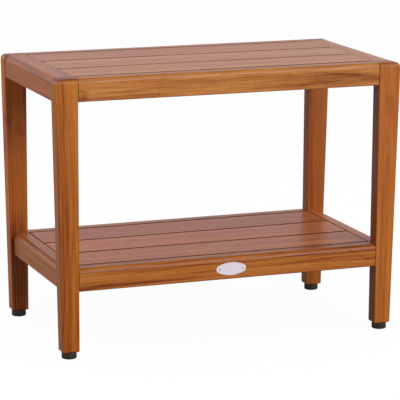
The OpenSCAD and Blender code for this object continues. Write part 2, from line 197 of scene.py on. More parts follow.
def make_upkeep_and_painted_light():
    """End grain, sanding wear, painted highlight and painted shade on a board, from its place and facing."""
    tree, add, given = new_group("teak_upkeep_and_painted_light", "ShaderNodeTree", (
        ("Grain axis", "Vector", (1, 0, 0)), ("Round-over", "Float", NOWHERE),
        ("Lower edge", "Float", NOWHERE)),
        (("End grain", "Float"), ("Wear and highlight", "Float"), ("Painted shade", "Float"), ("Painted gap shade", "Float")))
    seen = add("TexCoord").outputs
    true_facing = add("NewGeometry").outputs["True Normal"]
    place = add("SeparateXYZ", seen["Object"]).outputs
    side_x, side_y = add("Math ABSOLUTE", place[0]), add("Math ABSOLUTE", place[1])
    along_grain = add("Math ABSOLUTE", add("VectorMath DOT_PRODUCT", seen["Normal"], given["Grain axis"]))
    end_grain = add("MapRange", along_grain, 0.35, 0.9)

    # Sanding breaks the arrises to a paler line, in patches of 17 mm, which is partly wear and partly a
    # painted highlight. A painted highlight line runs where a rounded edge meets the outer face below it
    eased = add("Bevel", samples=6, inputs={"Radius": 1.3 * MM})
    arris = add("MapRange", add("VectorMath DOT_PRODUCT", true_facing, eased), 0.99, 0.80)
    patches = add("TexNoise", inputs={"Vector": seen["Object"], "Scale": 60.0, "Detail": 2.0})
    arris_wear_and_highlight = add("Math MULTIPLY", arris, add("MapRange", patches, 0.35, 0.6))
    past_face = add("Math SUBTRACT", side_y, LEG_HIGH.y - 1.6 * MM)
    from_round = add("Math ABSOLUTE", add("Math SUBTRACT", place[2], given["Round-over"]))
    line = add("Math MULTIPLY", add("MapRange", from_round, 0.9 * MM, 0.3 * MM),
               add("MapRange", past_face, -0.2 * MM, 0.2 * MM))
    wear_and_highlight = add("Math MAXIMUM", add("Math MULTIPLY", arris_wear_and_highlight, 0.8), line)

    # Painted shade: a dark line along the joints, where the groove between the parts lies in shade, a line
    # along a rail's lower edge, which faces down, and a little on the rounded top edge
    joint_shades = []
    for side, edge, across, start in (
            (side_x, LEG_LOW.x, side_y, LEG_LOW.y), (side_y, LEG_LOW.y, side_x, LEG_LOW.x)):
        off = add("Math ABSOLUTE", add("Math SUBTRACT", side, edge))
        joint_shades.append(add("Math MULTIPLY", add("MapRange", off, 1.3 * MM, 0.3 * MM),
                          add("MapRange", across, start, start + 1 * MM)))
    from_edge = add("Math ABSOLUTE", add("Math SUBTRACT", place[2], given["Lower edge"]))
    lower_edge_shade = add("MapRange", from_edge, 2.0 * MM, 0.6 * MM)
    up_round = add("Math SUBTRACT", place[2], given["Round-over"])
    on_round = add("Math MULTIPLY", add("MapRange", up_round, 0.0, 0.8 * MM),
                   add("MapRange", up_round, 6.1 * MM, 4.6 * MM))
    edge_and_round_shade = add("Math MAXIMUM", lower_edge_shade, add("Math MULTIPLY", on_round, 0.22))
    painted_shade = add("Math MAXIMUM", add("Math MAXIMUM", *joint_shades), edge_and_round_shade)

    # Painted shade on the walls of the drain gaps
    to_gap = add("Math PINGPONG", add("Math ADD", side_y, SLAT_PITCH / 2), SLAT_PITCH / 2)
    gap_half = (SLAT_PITCH - SLAT_HIGH.y + SLAT_LOW.y) / 2
    beside = add("Math MULTIPLY", add("MapRange", to_gap, gap_half + 0.5 * MM, gap_half + 0.2 * MM),
                 add("MapRange", side_x, LEG_LOW.x - 1 * MM, LEG_LOW.x - 2 * MM))
    not_below = add("MapRange", add("VectorMath DOT_PRODUCT", true_facing, (0, 0, 1)), -0.9, -0.5)
    add("NodeGroupOutput", end_grain, wear_and_highlight, painted_shade, add("Math MULTIPLY", beside, not_below))
    return tree


# What turns a board's grain axis to the log's, which is X
GRAIN_LAY = {"X": Euler((0, 0, 0)), "Y": Euler((0, 0, -math.pi / 2)), "Z": Euler((0, math.pi / 2, 0))}
AXES = {"X": (1, 0, 0), "Y": (0, 1, 0), "Z": (0, 0, 1)}
# Oiled teak from its palest wood to its darkest rings
TEAK_COLOURS = ((0.0, "#EAA358"), (0.30, "#D98C43"), (0.62, "#B56B28"), (1.0, "#7A3C0B"))
TEAK_IOR = 1.38


class Figure(NamedTuple):
    """A curved line in a board's face, part of a circle, in millimetres along and up the face."""
    centre: tuple
    radius: float
    half_width: float
    middle: tuple  # of the stretch that shows
    reach: float  # how far it shows around that middle
    depth: float  # how much darker it is, or paler where this is below zero


def teak(name, middle, along, heart, tilt, ring=5, rings=0.6, streaks=0.8, level=0.0, fade=0.0,
         tone="#EDD7B3", ends=0.75, figures=(), round_over=NOWHERE, lower_edge=NOWHERE):
    """Teak, sawn, sanded and oiled: a warm brown with dark ring lines, streaks and a soft sheen.

    middle is the board's centre, along its grain's axis, and heart where that centre lies in the log, in
    millimetres along and across. tilt is how far the board was sawn off the grain, in degrees. ring is the
    rings' width in millimetres, rings and streaks are their contrasts, and ends is how dark end grain is.
    level darkens the whole board, and fade darkens it per metre along the grain. tone tints it. round_over
    is the height where a rounded top edge starts, where a painted highlight line runs and above which the
    edge gets painted shade, and lower_edge the height of a rail's lower edge, along which painted shade
    runs.
    """
    material, add = new_material(name)
    sawn = Euler((0, math.radians(tilt[0]), math.radians(tilt[1])))
    turn = sawn.to_matrix() @ GRAIN_LAY[along].to_matrix()
    here = add("TexCoord").outputs["Object"]
    log = add("Group", node_tree=teak_log, inputs={
        "Place": add("Mapping", here, Vector(heart) * MM - turn @ middle, turn.to_euler()),
        "Ring width": ring * MM, "Ring contrast": rings, "Streak contrast": streaks}).outputs
    upkeep_and_light = add("Group", node_tree=teak_upkeep_and_painted_light, inputs={
        "Grain axis": AXES[along], "Round-over": round_over, "Lower edge": lower_edge}).outputs

    from_middle = add("VectorMath DOT_PRODUCT", add("VectorMath SUBTRACT", here, middle), AXES[along])
    shade = add("Math ADD", add("Math ADD", log["Shade"], level), add("Math MULTIPLY", from_middle, fade))
    face = Vector((0, 1, 1) if along == "Y" else (1, 0, 1))
    flat_place = add("VectorMath MULTIPLY", here, face)
    for figure in figures:
        centre, own_middle = (
            Vector((at, at, height)) * face * MM for at, height in (figure.centre, figure.middle))
        from_centre = add("VectorMath DISTANCE", flat_place, centre)
        off = add("Math ABSOLUTE", add("Math SUBTRACT", from_centre, figure.radius * MM))
        line = add("MapRange", off, figure.half_width * MM, 0.3 * figure.half_width * MM)
        away = add("VectorMath DISTANCE", flat_place, own_middle)
        near = add("MapRange", away, figure.reach * MM, 0.6 * figure.reach * MM)
        drawn = add("Math MULTIPLY", add("Math MULTIPLY", line, near), figure.depth)
        shade = add("Math ADD", shade, drawn)

    # The wood's own colour, and what covers it, with wear and end grain but also painted highlight and
    # painted
    # shade: how strongly, in which way and in what colour
    colour = add("Mix", data_type="RGBA", blend_type="MULTIPLY", inputs={
        "Factor": 1.0, "A": add("ValToRGB", shade, stops=TEAK_COLOURS), "B": linear(tone)})
    for mask, strength, kind, tint in (
            (add("MapRange", log["Blush"], 0.3, 0.9), 0.35, "MULTIPLY", "#F0C8B4"),
            (log["Pores"], 0.30, "MULTIPLY", "#8C6A50"),
            (upkeep_and_light["End grain"], ends, "MULTIPLY", "#B08474"),
            # wear on the arrises, partly a painted highlight, and a painted highlight line under the rounded
            # edge
            (upkeep_and_light["Wear and highlight"], 0.10, "MIX", "#FFF2EA"),
            # painted shade along the joints, along a rail's lower edge and on the rounded top edge
            (upkeep_and_light["Painted shade"], 0.6, "MULTIPLY", "#7A4A34"),
            # painted shade on the walls of the drain gaps
            (upkeep_and_light["Painted gap shade"], 1.0, "MULTIPLY", "#806C66")):
        colour = add("Mix", data_type="RGBA", blend_type=kind, inputs={
            "Factor": add("Math MULTIPLY", mask, strength), "A": colour, "B": linear(tint)})
    relief = add("Bump", inputs={"Strength": 0.35, "Distance": 0.12 * MM, "Height": log["Height"]})
    pale_rough, dark_rough = 0.40, 0.30
    gloss = add("MapRange", shade, 0.0, 1.0, pale_rough, dark_rough)
    add("OutputMaterial", add("BsdfPrincipled", inputs={
        "Base Color": colour, "Roughness": gloss, "IOR": TEAK_IOR, "Normal": relief}))
    return material


# ---- Other materials ----

def simple_finish(name, pale, dark, grit_mm, rough, metal=0.0, bump_mm=0.02, stretch=(1, 1, 1)):
    """A finish whose tone, gloss and relief vary together over grit of one real size in millimetres.

    rough is the roughness in the grit's hollows and on its tops. stretch draws the grit out along an axis
    where it is below one.
    """
    material, add = new_material(name)
    scaled = add("Mapping", add("TexCoord").outputs["Object"], inputs={"Scale": stretch})
    grit = add("TexNoise", inputs={"Vector": scaled, "Scale": 1 / (grit_mm * MM), "Detail": 3.0})
    tone = add("Mix", data_type="RGBA", inputs={"Factor": grit, "A": linear(dark), "B": linear(pale)})
    gloss = add("MapRange", grit, 0.0, 1.0, *rough)
    relief = add("Bump", inputs={"Strength": 0.5, "Distance": bump_mm * MM, "Height": grit})
    add("OutputMaterial", add("BsdfPrincipled", inputs={
        "Base Color": tone, "Roughness": gloss, "Metallic": metal, "Normal": relief}))
    return material


# ---- Making pieces ----

def new_object(name, data):
    """An object of a mesh or a lamp, in the scene."""
    obj = bpy.data.objects.new(name, data)
    bpy.context.scene.collection.objects.link(obj)
    return obj


def make_plain(obj):
    """Turns what an object's modifiers make into its own plain mesh, and takes the modifiers off."""
    view = bpy.context.evaluated_depsgraph_get()
    mesh = bpy.data.meshes.new_from_object(
        obj.evaluated_get(view), preserve_all_data_layers=True, depsgraph=view)
    obj.modifiers.clear()
    obj.data = mesh


def soften(obj, sharp_above):
    """Smooth shading with sharp edges above an angle in degrees; large flat faces stay flat."""
    bm = bmesh.new()
    bm.from_mesh(obj.data)
    for face in bm.faces:
        face.smooth = True
    for edge in bm.edges:
        edge.smooth = not (edge.is_manifold and edge.calc_face_angle() > math.radians(sharp_above))
    bm.to_mesh(obj.data)
    bm.free()
    weighted = obj.modifiers.new("flat_faces", "WEIGHTED_NORMAL")
    weighted.keep_sharp = True
    make_plain(obj)


def dressed_copy(name, arris):
    """A CAD node's shape with its triangles merged into faces and its sharp outside edges taken off."""
    mesh = frame["nodes"][name].data.copy()
    bm = bmesh.new()
    bm.from_mesh(mesh)
    bmesh.ops.remove_doubles(bm, verts=bm.verts[:], dist=SEAM)
    flat_angle, sharp_angle = math.radians(0.3), math.radians(35)
    bmesh.ops.dissolve_limit(bm, angle_limit=flat_angle, verts=bm.verts[:], edges=bm.edges[:])
    sharp = [e for e in bm.edges if e.is_manifold and e.is_convex and e.calc_face_angle() > sharp_angle]
    bmesh.ops.bevel(bm, geom=sharp, offset=arris, offset_type="OFFSET", segments=2, profile=0.5,
                    affect="EDGES", clamp_overlap=True)
    fresh = bpy.data.meshes.new(name + "_dressed")
    bm.to_mesh(fresh)
    bm.free()
    obj = new_object(name + "_dressed", fresh)
    soften(obj, 50)
    return obj


def grow(name, tree, sizes, points=None):
    """What a Geometry Nodes tree makes from named sizes, and from a mesh of points where it needs one."""
    obj = new_object(name, points or bpy.data.meshes.new(name))
    modifier = obj.modifiers.new("grow", "NODES")
    modifier.node_group = tree
    for item in tree.interface.items_tree:
        if item.item_type == "SOCKET" and item.in_out == "INPUT" and item.name in sizes:
            modifier[item.identifier] = sizes[item.name]
    make_plain(obj)
    soften(obj, 40)
    return obj


def body_of(node):
    """The CAD body that a node belongs to."""
    bodies = frame["record"]["behaviour"]["bodies"]
    return next(body for body, members in bodies.items() if node in members)


def stand_for(obj, node, material):
    """Gives a piece its material, body and slot, in place of one CAD node."""
    obj.data.materials.clear()
    obj.data.materials.append(material)
    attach(obj, body_of(node))
    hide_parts(node)


def middle_of(node):
    """The middle of a CAD node's box."""
    low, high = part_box(node)
    return (low + high) / 2


def separate_boxes(node):
    """The lowest and highest corners of each loose solid in a CAD node."""
    bm = bmesh.new()
    bm.from_mesh(frame["nodes"][node].data)
    bmesh.ops.remove_doubles(bm, verts=bm.verts[:], dist=SEAM)
    left, boxes = set(bm.verts), []
    while left:
        island, edge_of_island = set(), [left.pop()]
        while edge_of_island:
            vert = edge_of_island.pop()
            island.add(vert)
            fresh = {e.other_vert(vert) for e in vert.link_edges} & left
            left -= fresh
            edge_of_island.extend(fresh)
        axes = list(zip(*(v.co for v in island)))
        boxes.append((Vector([min(a) for a in axes]), Vector([max(a) for a in axes])))
    bm.free()
    return boxes


def points_mesh(name, places, aims):
    """Loose points, each with the direction in which the thing on it points."""
    mesh = bpy.data.meshes.new(name)
    mesh.from_pydata(places, [], [])
    aim = mesh.attributes.new("aim", "FLOAT_VECTOR", "POINT")
    for value, direction in zip(aim.data, aims):
        value.vector = direction
    return mesh


# ---- What repeats ----

def make_thread_wave():
    """Height of a screw thread's flank, 0 to 1, at an angle and a length, fading out at both ends."""
    tree, add, given = new_group("thread_wave", "GeometryNodeTree", (
        ("Along", "Float", 0.0), ("Angle", "Float", 0.0), ("Pitch", "Float", METRIC_PITCH),
        ("Start", "Float", 0.0), ("End", "Float", 10 * MM)), (("Wave", "Float"),))
    turns = add("Math SUBTRACT", add("Math DIVIDE", given["Along"], given["Pitch"]),
                add("Math DIVIDE", given["Angle"], 2 * math.pi))
    off_middle = add("Math ABSOLUTE", add("Math SUBTRACT", add("Math FRACT", turns), 0.5))
    flank = add("Math MULTIPLY", off_middle, 2.0)
    from_start = add("Math SUBTRACT", given["Along"], given["Start"])
    from_end = add("Math SUBTRACT", given["End"], given["Along"])
    inside = add("Math MULTIPLY", add("MapRange", from_start, 0.0, THREAD_RUN_OUT),
                 add("MapRange", from_end, 0.0, THREAD_RUN_OUT))
    add("NodeGroupOutput", add("Math MULTIPLY", flank, inside))
    return tree


def round_place(add):
    """A point's height and its angle about Z, in a geometry tree."""
    place = add("SeparateXYZ", add("GeometryNodeInputPosition")).outputs
    return place[2], add("Math ARCTAN2", place[1], place[0])


def at_radius(add, radius, angle, height):
    """The place at a radius, an angle and a height."""
    return add("CombineXYZ", add("Math MULTIPLY", radius, add("Math COSINE", angle)),
               add("Math MULTIPLY", radius, add("Math SINE", angle)), height)


def end_tree(add, given, geometry):
    """Realises what a tree made, merges its seams and gives it its material."""
    real = add("GeometryNodeRealizeInstances", geometry)
    merged = add("GeometryNodeMergeByDistance", inputs={"Geometry": real, "Distance": SEAM})
    add("NodeGroupOutput", add("GeometryNodeSetMaterial", inputs={
        "Geometry": merged, "Material": given["Material"]}))


def on_points(add, given, thing):
    """Puts a thing on every point that comes in, with its Z along the point's aim."""
    aim = add("GeometryNodeInputNamedAttribute", data_type="FLOAT_VECTOR", inputs={"Name": "aim"})
    turned = add("FunctionNodeAlignRotationToVector", axis="Z", inputs={"Vector": aim})
    return add("GeometryNodeInstanceOnPoints", inputs={
        "Points": given["Geometry"], "Instance": thing, "Rotation": turned})


def make_wood_screw_tree():
    """Countersunk wood screws with a square drive, one on each point."""
    tree, add, given = new_group("wood_screws", "GeometryNodeTree", (
        ("Geometry", "Geometry", None), ("Head radius", "Float", 4 * MM), ("Shank radius", "Float", 2 * MM),
        ("Length", "Float", 30 * MM), ("Lip", "Float", 0.5 * MM), ("Thread depth", "Float", 0.55 * MM),
        ("Pitch", "Float", 1.9 * MM), ("Plain shank", "Float", 11 * MM), ("Drive width", "Float", 2.4 * MM),
        ("Drive depth", "Float", 1.8 * MM), ("Material", "Material", None)), (("Geometry", "Geometry"),))
    blank = add("GeometryNodeMeshCylinder", fill_type="NGON", inputs={
        "Vertices": 16, "Side Segments": 64, "Radius": given["Shank radius"], "Depth": given["Length"]})
    height, angle = round_place(add)
    along = add("Math ADD", height, add("Math MULTIPLY", given["Length"], 0.5))
    wave = add("GeometryNodeGroup", node_tree=thread_wave, inputs={
        "Along": along, "Angle": angle, "Pitch": given["Pitch"], "Start": given["Plain shank"],
        "End": given["Length"]})
    shank = add("Math SUBTRACT", given["Shank radius"], add("Math MULTIPLY", given["Thread depth"], wave))
    tip = add("Math MULTIPLY", add("Math SUBTRACT", given["Length"], along), 0.5)
    cone = add("Math SUBTRACT", add("Math ADD", given["Head radius"], given["Lip"]), along)
    head = add("Math MINIMUM", given["Head radius"], cone)
    radius = add("Math MAXIMUM", head, add("Math MINIMUM", shank, tip))
    turned = add("GeometryNodeSetPosition", inputs={
        "Geometry": blank, "Position": at_radius(add, radius, angle, along)})

    # The drive: the head's face is drawn in to a square, and the square is pushed in
    facing = add("SeparateXYZ", add("GeometryNodeInputNormal")).outputs
    rim = add("GeometryNodeExtrudeMesh", inputs={
        "Mesh": turned, "Selection": add("Math LESS_THAN", facing[2], -0.9), "Offset Scale": 0.0}).outputs
    place = add("GeometryNodeInputPosition")
    flat = add("SeparateXYZ", place).outputs
    reach = add("Math MAXIMUM", add("Math ABSOLUTE", flat[0]), add("Math ABSOLUTE", flat[1]))
    drive_half = add("Math MULTIPLY", given["Drive width"], 0.5)
    square = add("VectorMath SCALE", place, inputs={"Scale": add("Math DIVIDE", drive_half, reach)})
    drawn_in = add("GeometryNodeSetPosition", inputs={
        "Geometry": rim["Mesh"], "Selection": rim["Top"], "Position": square})
    depth = add("CombineXYZ", 0.0, 0.0, given["Drive depth"])
    driven = add("GeometryNodeExtrudeMesh", inputs={
        "Mesh": drawn_in, "Selection": rim["Top"], "Offset": depth})
    end_tree(add, given, on_points(add, given, driven))
    return tree


def make_stud_tree():
    """A foot's threaded stud with a hexagonal head, upright at a place."""
    tree, add, given = new_group("foot_stud", "GeometryNodeTree", (
        ("Radius", "Float", 4 * MM), ("Length", "Float", 22 * MM), ("Pitch", "Float", METRIC_PITCH),
        ("Thread depth", "Float", 0.68 * MM), ("Head width", "Float", 13 * MM),
        ("Head height", "Float", 2.5 * MM), ("Chamfer", "Float", 1.0 * MM),
        ("Place", "Vector", (0, 0, 0)), ("Material", "Material", None)), (("Geometry", "Geometry"),))
    rod = add("GeometryNodeMeshCylinder", fill_type="NGON", inputs={
        "Vertices": 28, "Side Segments": 110, "Radius": given["Radius"], "Depth": given["Length"]})
    height, angle = round_place(add)
    along = add("Math ADD", height, add("Math MULTIPLY", given["Length"], 0.5))
    wave = add("GeometryNodeGroup", node_tree=thread_wave, inputs={
        "Along": along, "Angle": angle, "Pitch": given["Pitch"], "Start": given["Head height"],
        "End": given["Length"]})
    threaded = add("Math SUBTRACT", given["Radius"], add("Math MULTIPLY", given["Thread depth"], wave))
    end = add("Math ADD", add("Math SUBTRACT", given["Radius"], given["Chamfer"]),
              add("Math SUBTRACT", given["Length"], along))
    turned = add("GeometryNodeSetPosition", inputs={
        "Geometry": rod, "Position": at_radius(add, add("Math MINIMUM", threaded, end), angle, along)})

    # A hexagon's corners lie further out than its flats
    corner_out = add("Math DIVIDE", given["Head width"], 2 * math.cos(math.pi / 6))
    head = add("GeometryNodeMeshCylinder", fill_type="NGON", inputs={
        "Vertices": 6, "Radius": corner_out, "Depth": given["Head height"]})
    half_up = add("CombineXYZ", 0.0, 0.0, add("Math MULTIPLY", given["Head height"], 0.5))
    seated = add("GeometryNodeTransform", inputs={"Geometry": head, "Translation": half_up})
    both = add("GeometryNodeJoinGeometry", [turned, seated])
    placed = add("GeometryNodeTransform", inputs={"Geometry": both, "Translation": given["Place"]})
    end_tree(add, given, placed)
    return tree


def make_insert_tree():
    """Brass inserts, coarse thread outside and the stud's thread inside, one on each point."""
    around, up = 33, 60
    tree, add, given = new_group("foot_inserts", "GeometryNodeTree", (
        ("Geometry", "Geometry", None), ("Length", "Float", 13 * MM), ("Outer radius", "Float", 6 * MM),
        ("Outer pitch", "Float", 2.2 * MM), ("Outer depth", "Float", 0.7 * MM),
        ("Bore radius", "Float", 4.05 * MM), ("Inner pitch", "Float", METRIC_PITCH),
        ("Inner depth", "Float", 0.5 * MM), ("Material", "Material", None)), (("Geometry", "Geometry"),))

    # A sheet is rolled up: its rows run up the outside and down the inside, and the last meets the first
    sheet = add("GeometryNodeMeshGrid", inputs={
        "Size X": 1.0, "Size Y": 1.0, "Vertices X": 2 * up + 1, "Vertices Y": around})
    index = add("GeometryNodeInputIndex")
    row = add("Math FLOOR", add("Math DIVIDE", add("Math ADD", index, 0.5), float(around)))
    row = add("Math MODULO", row, 2.0 * up)
    angle = add("Math MULTIPLY", add("Math MODULO", index, float(around)), 2 * math.pi / (around - 1))
    outside = add("Math LESS_THAN", row, up - 0.5)
    step = add("Math MINIMUM", row, add("Math SUBTRACT", 2.0 * up - 1.0, row))
    along = add("Math MULTIPLY", add("Math DIVIDE", step, up - 1.0), given["Length"])
    outer_wave, inner_wave = (add("GeometryNodeGroup", node_tree=thread_wave, inputs={
        "Along": along, "Angle": angle, "Pitch": given[pitch], "End": given["Length"]})
        for pitch in ("Outer pitch", "Inner pitch"))
    outer_cut = add("Math MULTIPLY", given["Outer depth"], outer_wave)
    inner_cut = add("Math MULTIPLY", given["Inner depth"], inner_wave)
    outer = add("Math SUBTRACT", given["Outer radius"], outer_cut)
    inner = add("Math ADD", given["Bore radius"], inner_cut)
    radius = add("Math ADD", add("Math MULTIPLY", outer, outside),
                 add("Math MULTIPLY", inner, add("Math SUBTRACT", 1.0, outside)))
    rolled = add("GeometryNodeSetPosition", inputs={
        "Geometry": sheet, "Position": at_radius(add, radius, angle, along)})
    outward = add("GeometryNodeFlipFaces", rolled)
    closed = add("GeometryNodeMergeByDistance", inputs={"Geometry": outward, "Distance": SEAM})
    end_tree(add, given, on_points(add, given, closed))
    return tree


def make_slat_tree():
    """One slat: a board with rounded corners and eased edges, built up ring by ring from its outline."""
    tree, add, given = new_group("slat", "GeometryNodeTree", (
        ("Length", "Float", 0.53), ("Width", "Float", 0.08), ("Thickness", "Float", 16 * MM),
        ("Corner", "Float", 3.5 * MM), ("Edge", "Float", 0.6 * MM), ("Place", "Vector", (0, 0, 0)),
        ("Material", "Material", None)), (("Geometry", "Geometry"),))
    outline = add("GeometryNodeCurvePrimitiveQuadrilateral", inputs={
        "Width": given["Length"], "Height": given["Width"]})
    rounded = add("GeometryNodeFilletCurve", mode="POLY", inputs={
        "Curve": outline, "Count": 6, "Radius": given["Corner"]})
    sole = add("GeometryNodeFillCurve", mode="NGONS", inputs={"Curve": rounded})

    # A point's nearest place on the rectangle between the corners' centres, and the way out from it
    half = add("CombineXYZ", *(add("Math SUBTRACT", add("Math MULTIPLY", given[side], 0.5), given["Corner"])
                               for side in ("Length", "Width")))
    flat = add("VectorMath MULTIPLY", add("GeometryNodeInputPosition"), (1, 1, 0))
    not_past = add("VectorMath MAXIMUM", flat, add("VectorMath MULTIPLY", half, (-1, -1, 0)))
    core = add("VectorMath MINIMUM", not_past, half)
    outward = add("VectorMath NORMALIZE", add("VectorMath SUBTRACT", flat, core))

    def ring(mesh, chosen, inset, height):
        """Moves the chosen points to a ring that lies inset from the outline, at a height."""
        reach = add("Math SUBTRACT", given["Corner"], inset)
        shift = add("VectorMath SCALE", outward, inputs={"Scale": reach})
        lift = add("CombineXYZ", 0.0, 0.0, height)
        place = add("VectorMath ADD", add("VectorMath ADD", core, shift), lift)
        return add("GeometryNodeSetPosition", inputs={"Geometry": mesh, "Position": place, **chosen})

    # From below: a small round in three rings, the side, and a larger round in four rings
    below = add("Math MULTIPLY", given["Edge"], 0.6)
    slope = add("Math MULTIPLY", below, 0.3)
    side_rings = [(slope, slope), (0.0, below)]
    for turn in (0, 30, 60, 90):
        inset = add("Math MULTIPLY", given["Edge"], 1 - math.cos(math.radians(turn)))
        drop = add("Math MULTIPLY", given["Edge"], 1 - math.sin(math.radians(turn)))
        side_rings.append((inset, add("Math SUBTRACT", given["Thickness"], drop)))
    bottom = ring(sole, {}, below, 0.0)
    mesh, top = bottom, {}
    for inset, height in side_rings:
        grown = add("GeometryNodeExtrudeMesh", inputs={"Mesh": mesh, "Offset Scale": 0.0, **top}).outputs
        top = {"Selection": grown["Top"]}
        mesh = ring(grown["Mesh"], top, inset, height)
    closed = add("GeometryNodeJoinGeometry", [mesh, add("GeometryNodeFlipFaces", bottom)])
    placed = add("GeometryNodeTransform", inputs={"Geometry": closed, "Translation": given["Place"]})
    end_tree(add, given, placed)
    return tree


# ---- Scene ----

make_camera()
teak_log, teak_upkeep_and_painted_light, thread_wave = make_log(), make_upkeep_and_painted_light(), make_thread_wave()

# The curved lines of the four boards whose figure stands out. On the back left leg the wide bands are
# painted light and painted shade, paler where light passes between seat and shelf and darker under the seat
SEAT_FRONT_FIGURES = (
    Figure((-38, 418), 92, 1.8, (-126, 443), 24, 0.18), Figure((162, -67), 517, 1.4, (222, 446), 75, 0.25))
SHELF_FRONT_FIGURES = (Figure((304.5, 269.8), 152, 1.8, (244, 131), 42, 0.25),)
# A dark line at the foot of the rounded edge: partly a grain streak, partly painted shade
SEAT_LEFT_FIGURE_AND_SHADE = (Figure((8.8, -1042), 1500, 2.2, (-60, 458), 110, 0.15),)
# Painted light and painted shade: wide paler bands across the middle of the leg, a darker one under the
# seat, and one narrower dark curve
BACK_LEFT_LIGHT_AND_FIGURES = (
    Figure((-5284, 310), 5000, 24, (-284, 310), 170, -0.42),
    Figure((-5284, 240), 5000, 22, (-284, 240), 85, -0.16),
    Figure((-5305, 390), 5000, 9, (-305, 390), 150, 0.35), Figure((-240, 400), 78, 6, (-287, 340), 34, 0.2))

# Each board's grain axis, heart, tilt and looks
BOARDS = {
    "front_left_leg": ("Z", (100, 70, 20), (0.6, 0.2), dict(
        ring=4, rings=0.35, streaks=0.55, fade=-0.7, tone="#DFC971")),
    "front_right_leg": ("Z", (900, 95, 10), (0.3, 0.5), dict(
        ring=6, rings=0.3, streaks=0.5, ends=0.15, tone="#DDC388")),
    # The back legs are paler than the front legs, partly for the darker wood where they lie in the log and
    # partly as painted light that makes up for light they get too little of
    "back_left_leg": ("Z", (1700, 60, 60), (0.4, 0.2), dict(
        streaks=1.2, level=-0.08, tone="#FCDD73", figures=BACK_LEFT_LIGHT_AND_FIGURES)),
    "back_right_leg": ("Z", (2500, 60, 60), (0.3, 0.1), dict(
        rings=0.4, streaks=1.1, level=-0.26, tone="#FFDD73")),
    "seat_front_rail": ("X", (3300, -62, 12), (0.6, -1.7), dict(
        ring=6, rings=0.45, streaks=0.75, fade=0.38, tone="#E6E2CD", figures=SEAT_FRONT_FIGURES)),
    "seat_back_rail": ("X", (4100, 80, 60), (0.3, 0.3), {}),
    "seat_left_rail": ("Y", (4900, 50, 30), (1.5, 1.0), dict(
        ring=6, rings=0.25, streaks=0.5, tone="#E6CBC5", figures=SEAT_LEFT_FIGURE_AND_SHADE)),
    "seat_right_rail": ("Y", (5700, 70, 40), (1.0, 0.5), dict(rings=0.25, streaks=0.5, tone="#F9EEF6")),
    "shelf_front_rail": ("X", (6500, 20, 80), (0.8, 0.4), dict(
        ring=6.5, rings=0.9, streaks=1.2, fade=0.55, tone="#D4BC86", figures=SHELF_FRONT_FIGURES)),
    "shelf_back_rail": ("X", (7300, 60, 80), (0.4, 0.4), {}),
    "shelf_left_rail": ("Y", (8100, 50, 70), (0.5, 0.5), dict(rings=0.25, streaks=0.5, tone="#D7C8B8")),
    "shelf_right_rail": ("Y", (8900, 60, 60), (0.5, 0.5), {}),
}
SLAT_TONES = {
    "seat": {"front": "#F8F7F8", "middle": "#FBFDFF", "back": "#EFE4F0"},
    "shelf": {"front": "#EBD1B1", "middle": "#FADBB5", "back": "#E6CBBC"},
}
# What carries the slats, and the slats, come from further along the log, so that no two boards are alike
for number, level in enumerate(SLAT_TONES):
    for side, side_name in enumerate(("left", "right")):
        heart = (20000 + 2000 * number + 700 * side, 50, 60)
        BOARDS[f"{level}_{side_name}_cleat"] = ("Y", heart, (0.5, 0.5), {})
    BOARDS[f"{level}_batten"] = ("Y", (24000 + 900 * number, 60, 50), (0.5, 0.5), {})
for number, (level, tones) in enumerate(SLAT_TONES.items()):
    for row, (row_name, tone) in enumerate(tones.items()):
        heart = (10000 + 3000 * number + 900 * row, 30 + 12 * row, 110 + 10 * number)
        BOARDS[f"{level}_{row_name}_slat"] = ("X", heart, (0.2, 0.5), dict(
            rings=0.3, streaks=0.6, level=-0.10, ends=0.1, tone=tone))

slat_tree = make_slat_tree()
for node, (along, heart, tilt, look) in BOARDS.items():
    low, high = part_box(node)
    if node.endswith(("_leg", "_front_rail", "_back_rail")):
        look["round_over"] = high.z - TOP_ROUND
    if node.endswith(("_front_rail", "_back_rail")):
        look["lower_edge"] = low.z
    oiled = teak(f"teak_oiled_{node}", middle_of(node), along, heart, tilt, **look)
    if node.endswith("_slat"):
        board = grow(node + "_board", slat_tree, {
            "Length": high.x - low.x, "Width": high.y - low.y, "Thickness": high.z - low.z,
            "Corner": 3.5 * MM, "Edge": 0.6 * MM, "Material": oiled,
            "Place": ((low.x + high.x) / 2, (low.y + high.y) / 2, low.z)})
    else:
        board = dressed_copy(node, BOARD_ARRIS)
    stand_for(board, node, oiled)

# Stainless steel and brass, turned: grey and yellow metal with fine grit that breaks up the reflections
steel = simple_finish("stainless_steel_turned", "#B4B3AF", "#8F8E8A", 0.6, (0.28, 0.42), metal=1.0)
brass = simple_finish("brass_turned", "#C9A550", "#A5823A", 0.5, (0.25, 0.4), metal=1.0)
# Stainless steel, brushed: a pale plate with streaks along its length
plate = simple_finish("stainless_steel_brushed", "#FFF6FA", "#EEE2E8", 0.5, (0.6, 0.7), metal=1.0,
                      stretch=(0.08, 1, 1))
# Rubber and nylon, moulded: near black, matt below and a little glossier above
rubber = simple_finish("rubber_moulded", "#3D2D19", "#25190D", 0.8, (0.55, 0.75), bump_mm=0.05)
nylon = simple_finish("nylon_moulded", "#3E2E1B", "#291D10", 1.0, (0.38, 0.5), bump_mm=0.03)

